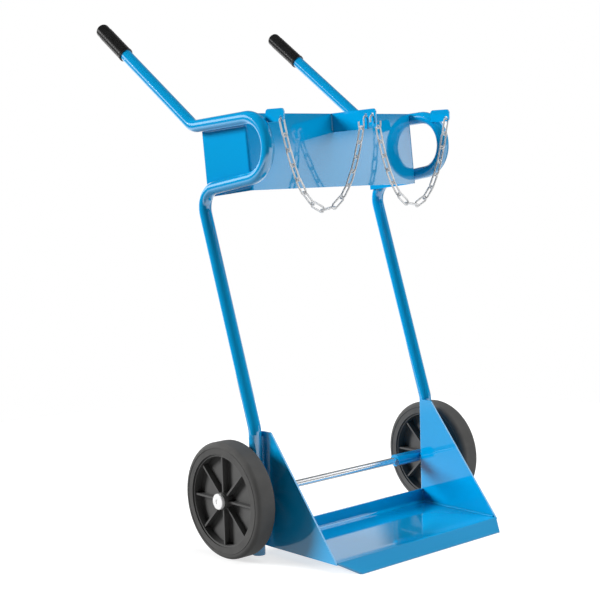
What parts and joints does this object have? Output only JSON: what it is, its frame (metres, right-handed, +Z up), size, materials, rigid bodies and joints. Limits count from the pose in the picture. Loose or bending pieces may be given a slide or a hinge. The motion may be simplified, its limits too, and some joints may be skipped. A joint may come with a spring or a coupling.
{
  "type": "gas cylinder trolley",
  "caption": "Hand trolley for gas cylinders: bent tube frame with grips, folded rest panel and divider, hanging chains, ramped toe plate with gussets, axle and solid rubber wheels.",
  "frame": {"origin": "on the floor under the middle of the whole trolley's box", "axes": "+Z up; -Y forwards, over the toe plate; +X along the axle, towards the side named right"},
  "size_m": [0.6968, 0.7906, 1.1661],
  "materials": {
    "blue_paint": "glossy blue powder coat",
    "axle_steel": "bright drawn bar",
    "zinc_steel": "bright zinc plate",
    "grip_rubber": "black moulded rubber",
    "tyre_rubber": "dark grey solid rubber",
    "rim_plastic": "black moulded plastic",
    "bearing_nylon": "natural nylon"
  },
  "bodies": {
    "frame": {"cylinder_rest_panel": "blue_paint", "middle_divider": "blue_paint", "toe_plate": "blue_paint", "left_frame_tube": "blue_paint", "left_chain_lug": "blue_paint", "left_gusset": "blue_paint", "left_axle_sleeve": "blue_paint", "right_frame_tube": "blue_paint", "right_chain_lug": "blue_paint", "right_gusset": "blue_paint", "right_axle_sleeve": "blue_paint", "axle": "axle_steel", "left_grip": "grip_rubber", "left_inner_washer": "zinc_steel", "left_outer_washer": "zinc_steel", "left_axle_cap": "zinc_steel", "right_grip": "grip_rubber", "right_inner_washer": "zinc_steel", "right_outer_washer": "zinc_steel", "right_axle_cap": "zinc_steel"},
    "left_wheel": {"left_tyre": "tyre_rubber", "left_wheel_rim": "rim_plastic", "left_wheel_bearing": "bearing_nylon"},
    "left_hanging_chain": {"left_chain": "zinc_steel", "left_chain_hook": "zinc_steel"},
    "right_wheel": {"right_tyre": "tyre_rubber", "right_wheel_rim": "rim_plastic", "right_wheel_bearing": "bearing_nylon"},
    "right_hanging_chain": {"right_chain": "zinc_steel", "right_chain_hook": "zinc_steel"}
  },
  "joints": [
    {"name": "left_wheel_spin", "type": "hinge", "parent": "frame", "child": "left_wheel", "pos_m": [-0.3141, -0.1011, 0.125], "axis": [1, 0, 0], "continuous": true},
    {"name": "right_wheel_spin", "type": "hinge", "parent": "frame", "child": "right_wheel", "pos_m": [0.3141, -0.1011, 0.125], "axis": [1, 0, 0], "continuous": true},
    {"name": "left_chain_swing", "type": "hinge", "parent": "frame", "child": "left_hanging_chain", "pos_m": [-0.2471, -0.2271, 0.9219], "axis": [0.9994, 0.0266, 0.0228], "range_deg": [-25, 25]},
    {"name": "right_chain_swing", "type": "hinge", "parent": "frame", "child": "right_hanging_chain", "pos_m": [0, -0.24051, 0.92823], "axis": [0.9982, 0.0542, -0.0256], "range_deg": [-25, 25]}
  ]
}
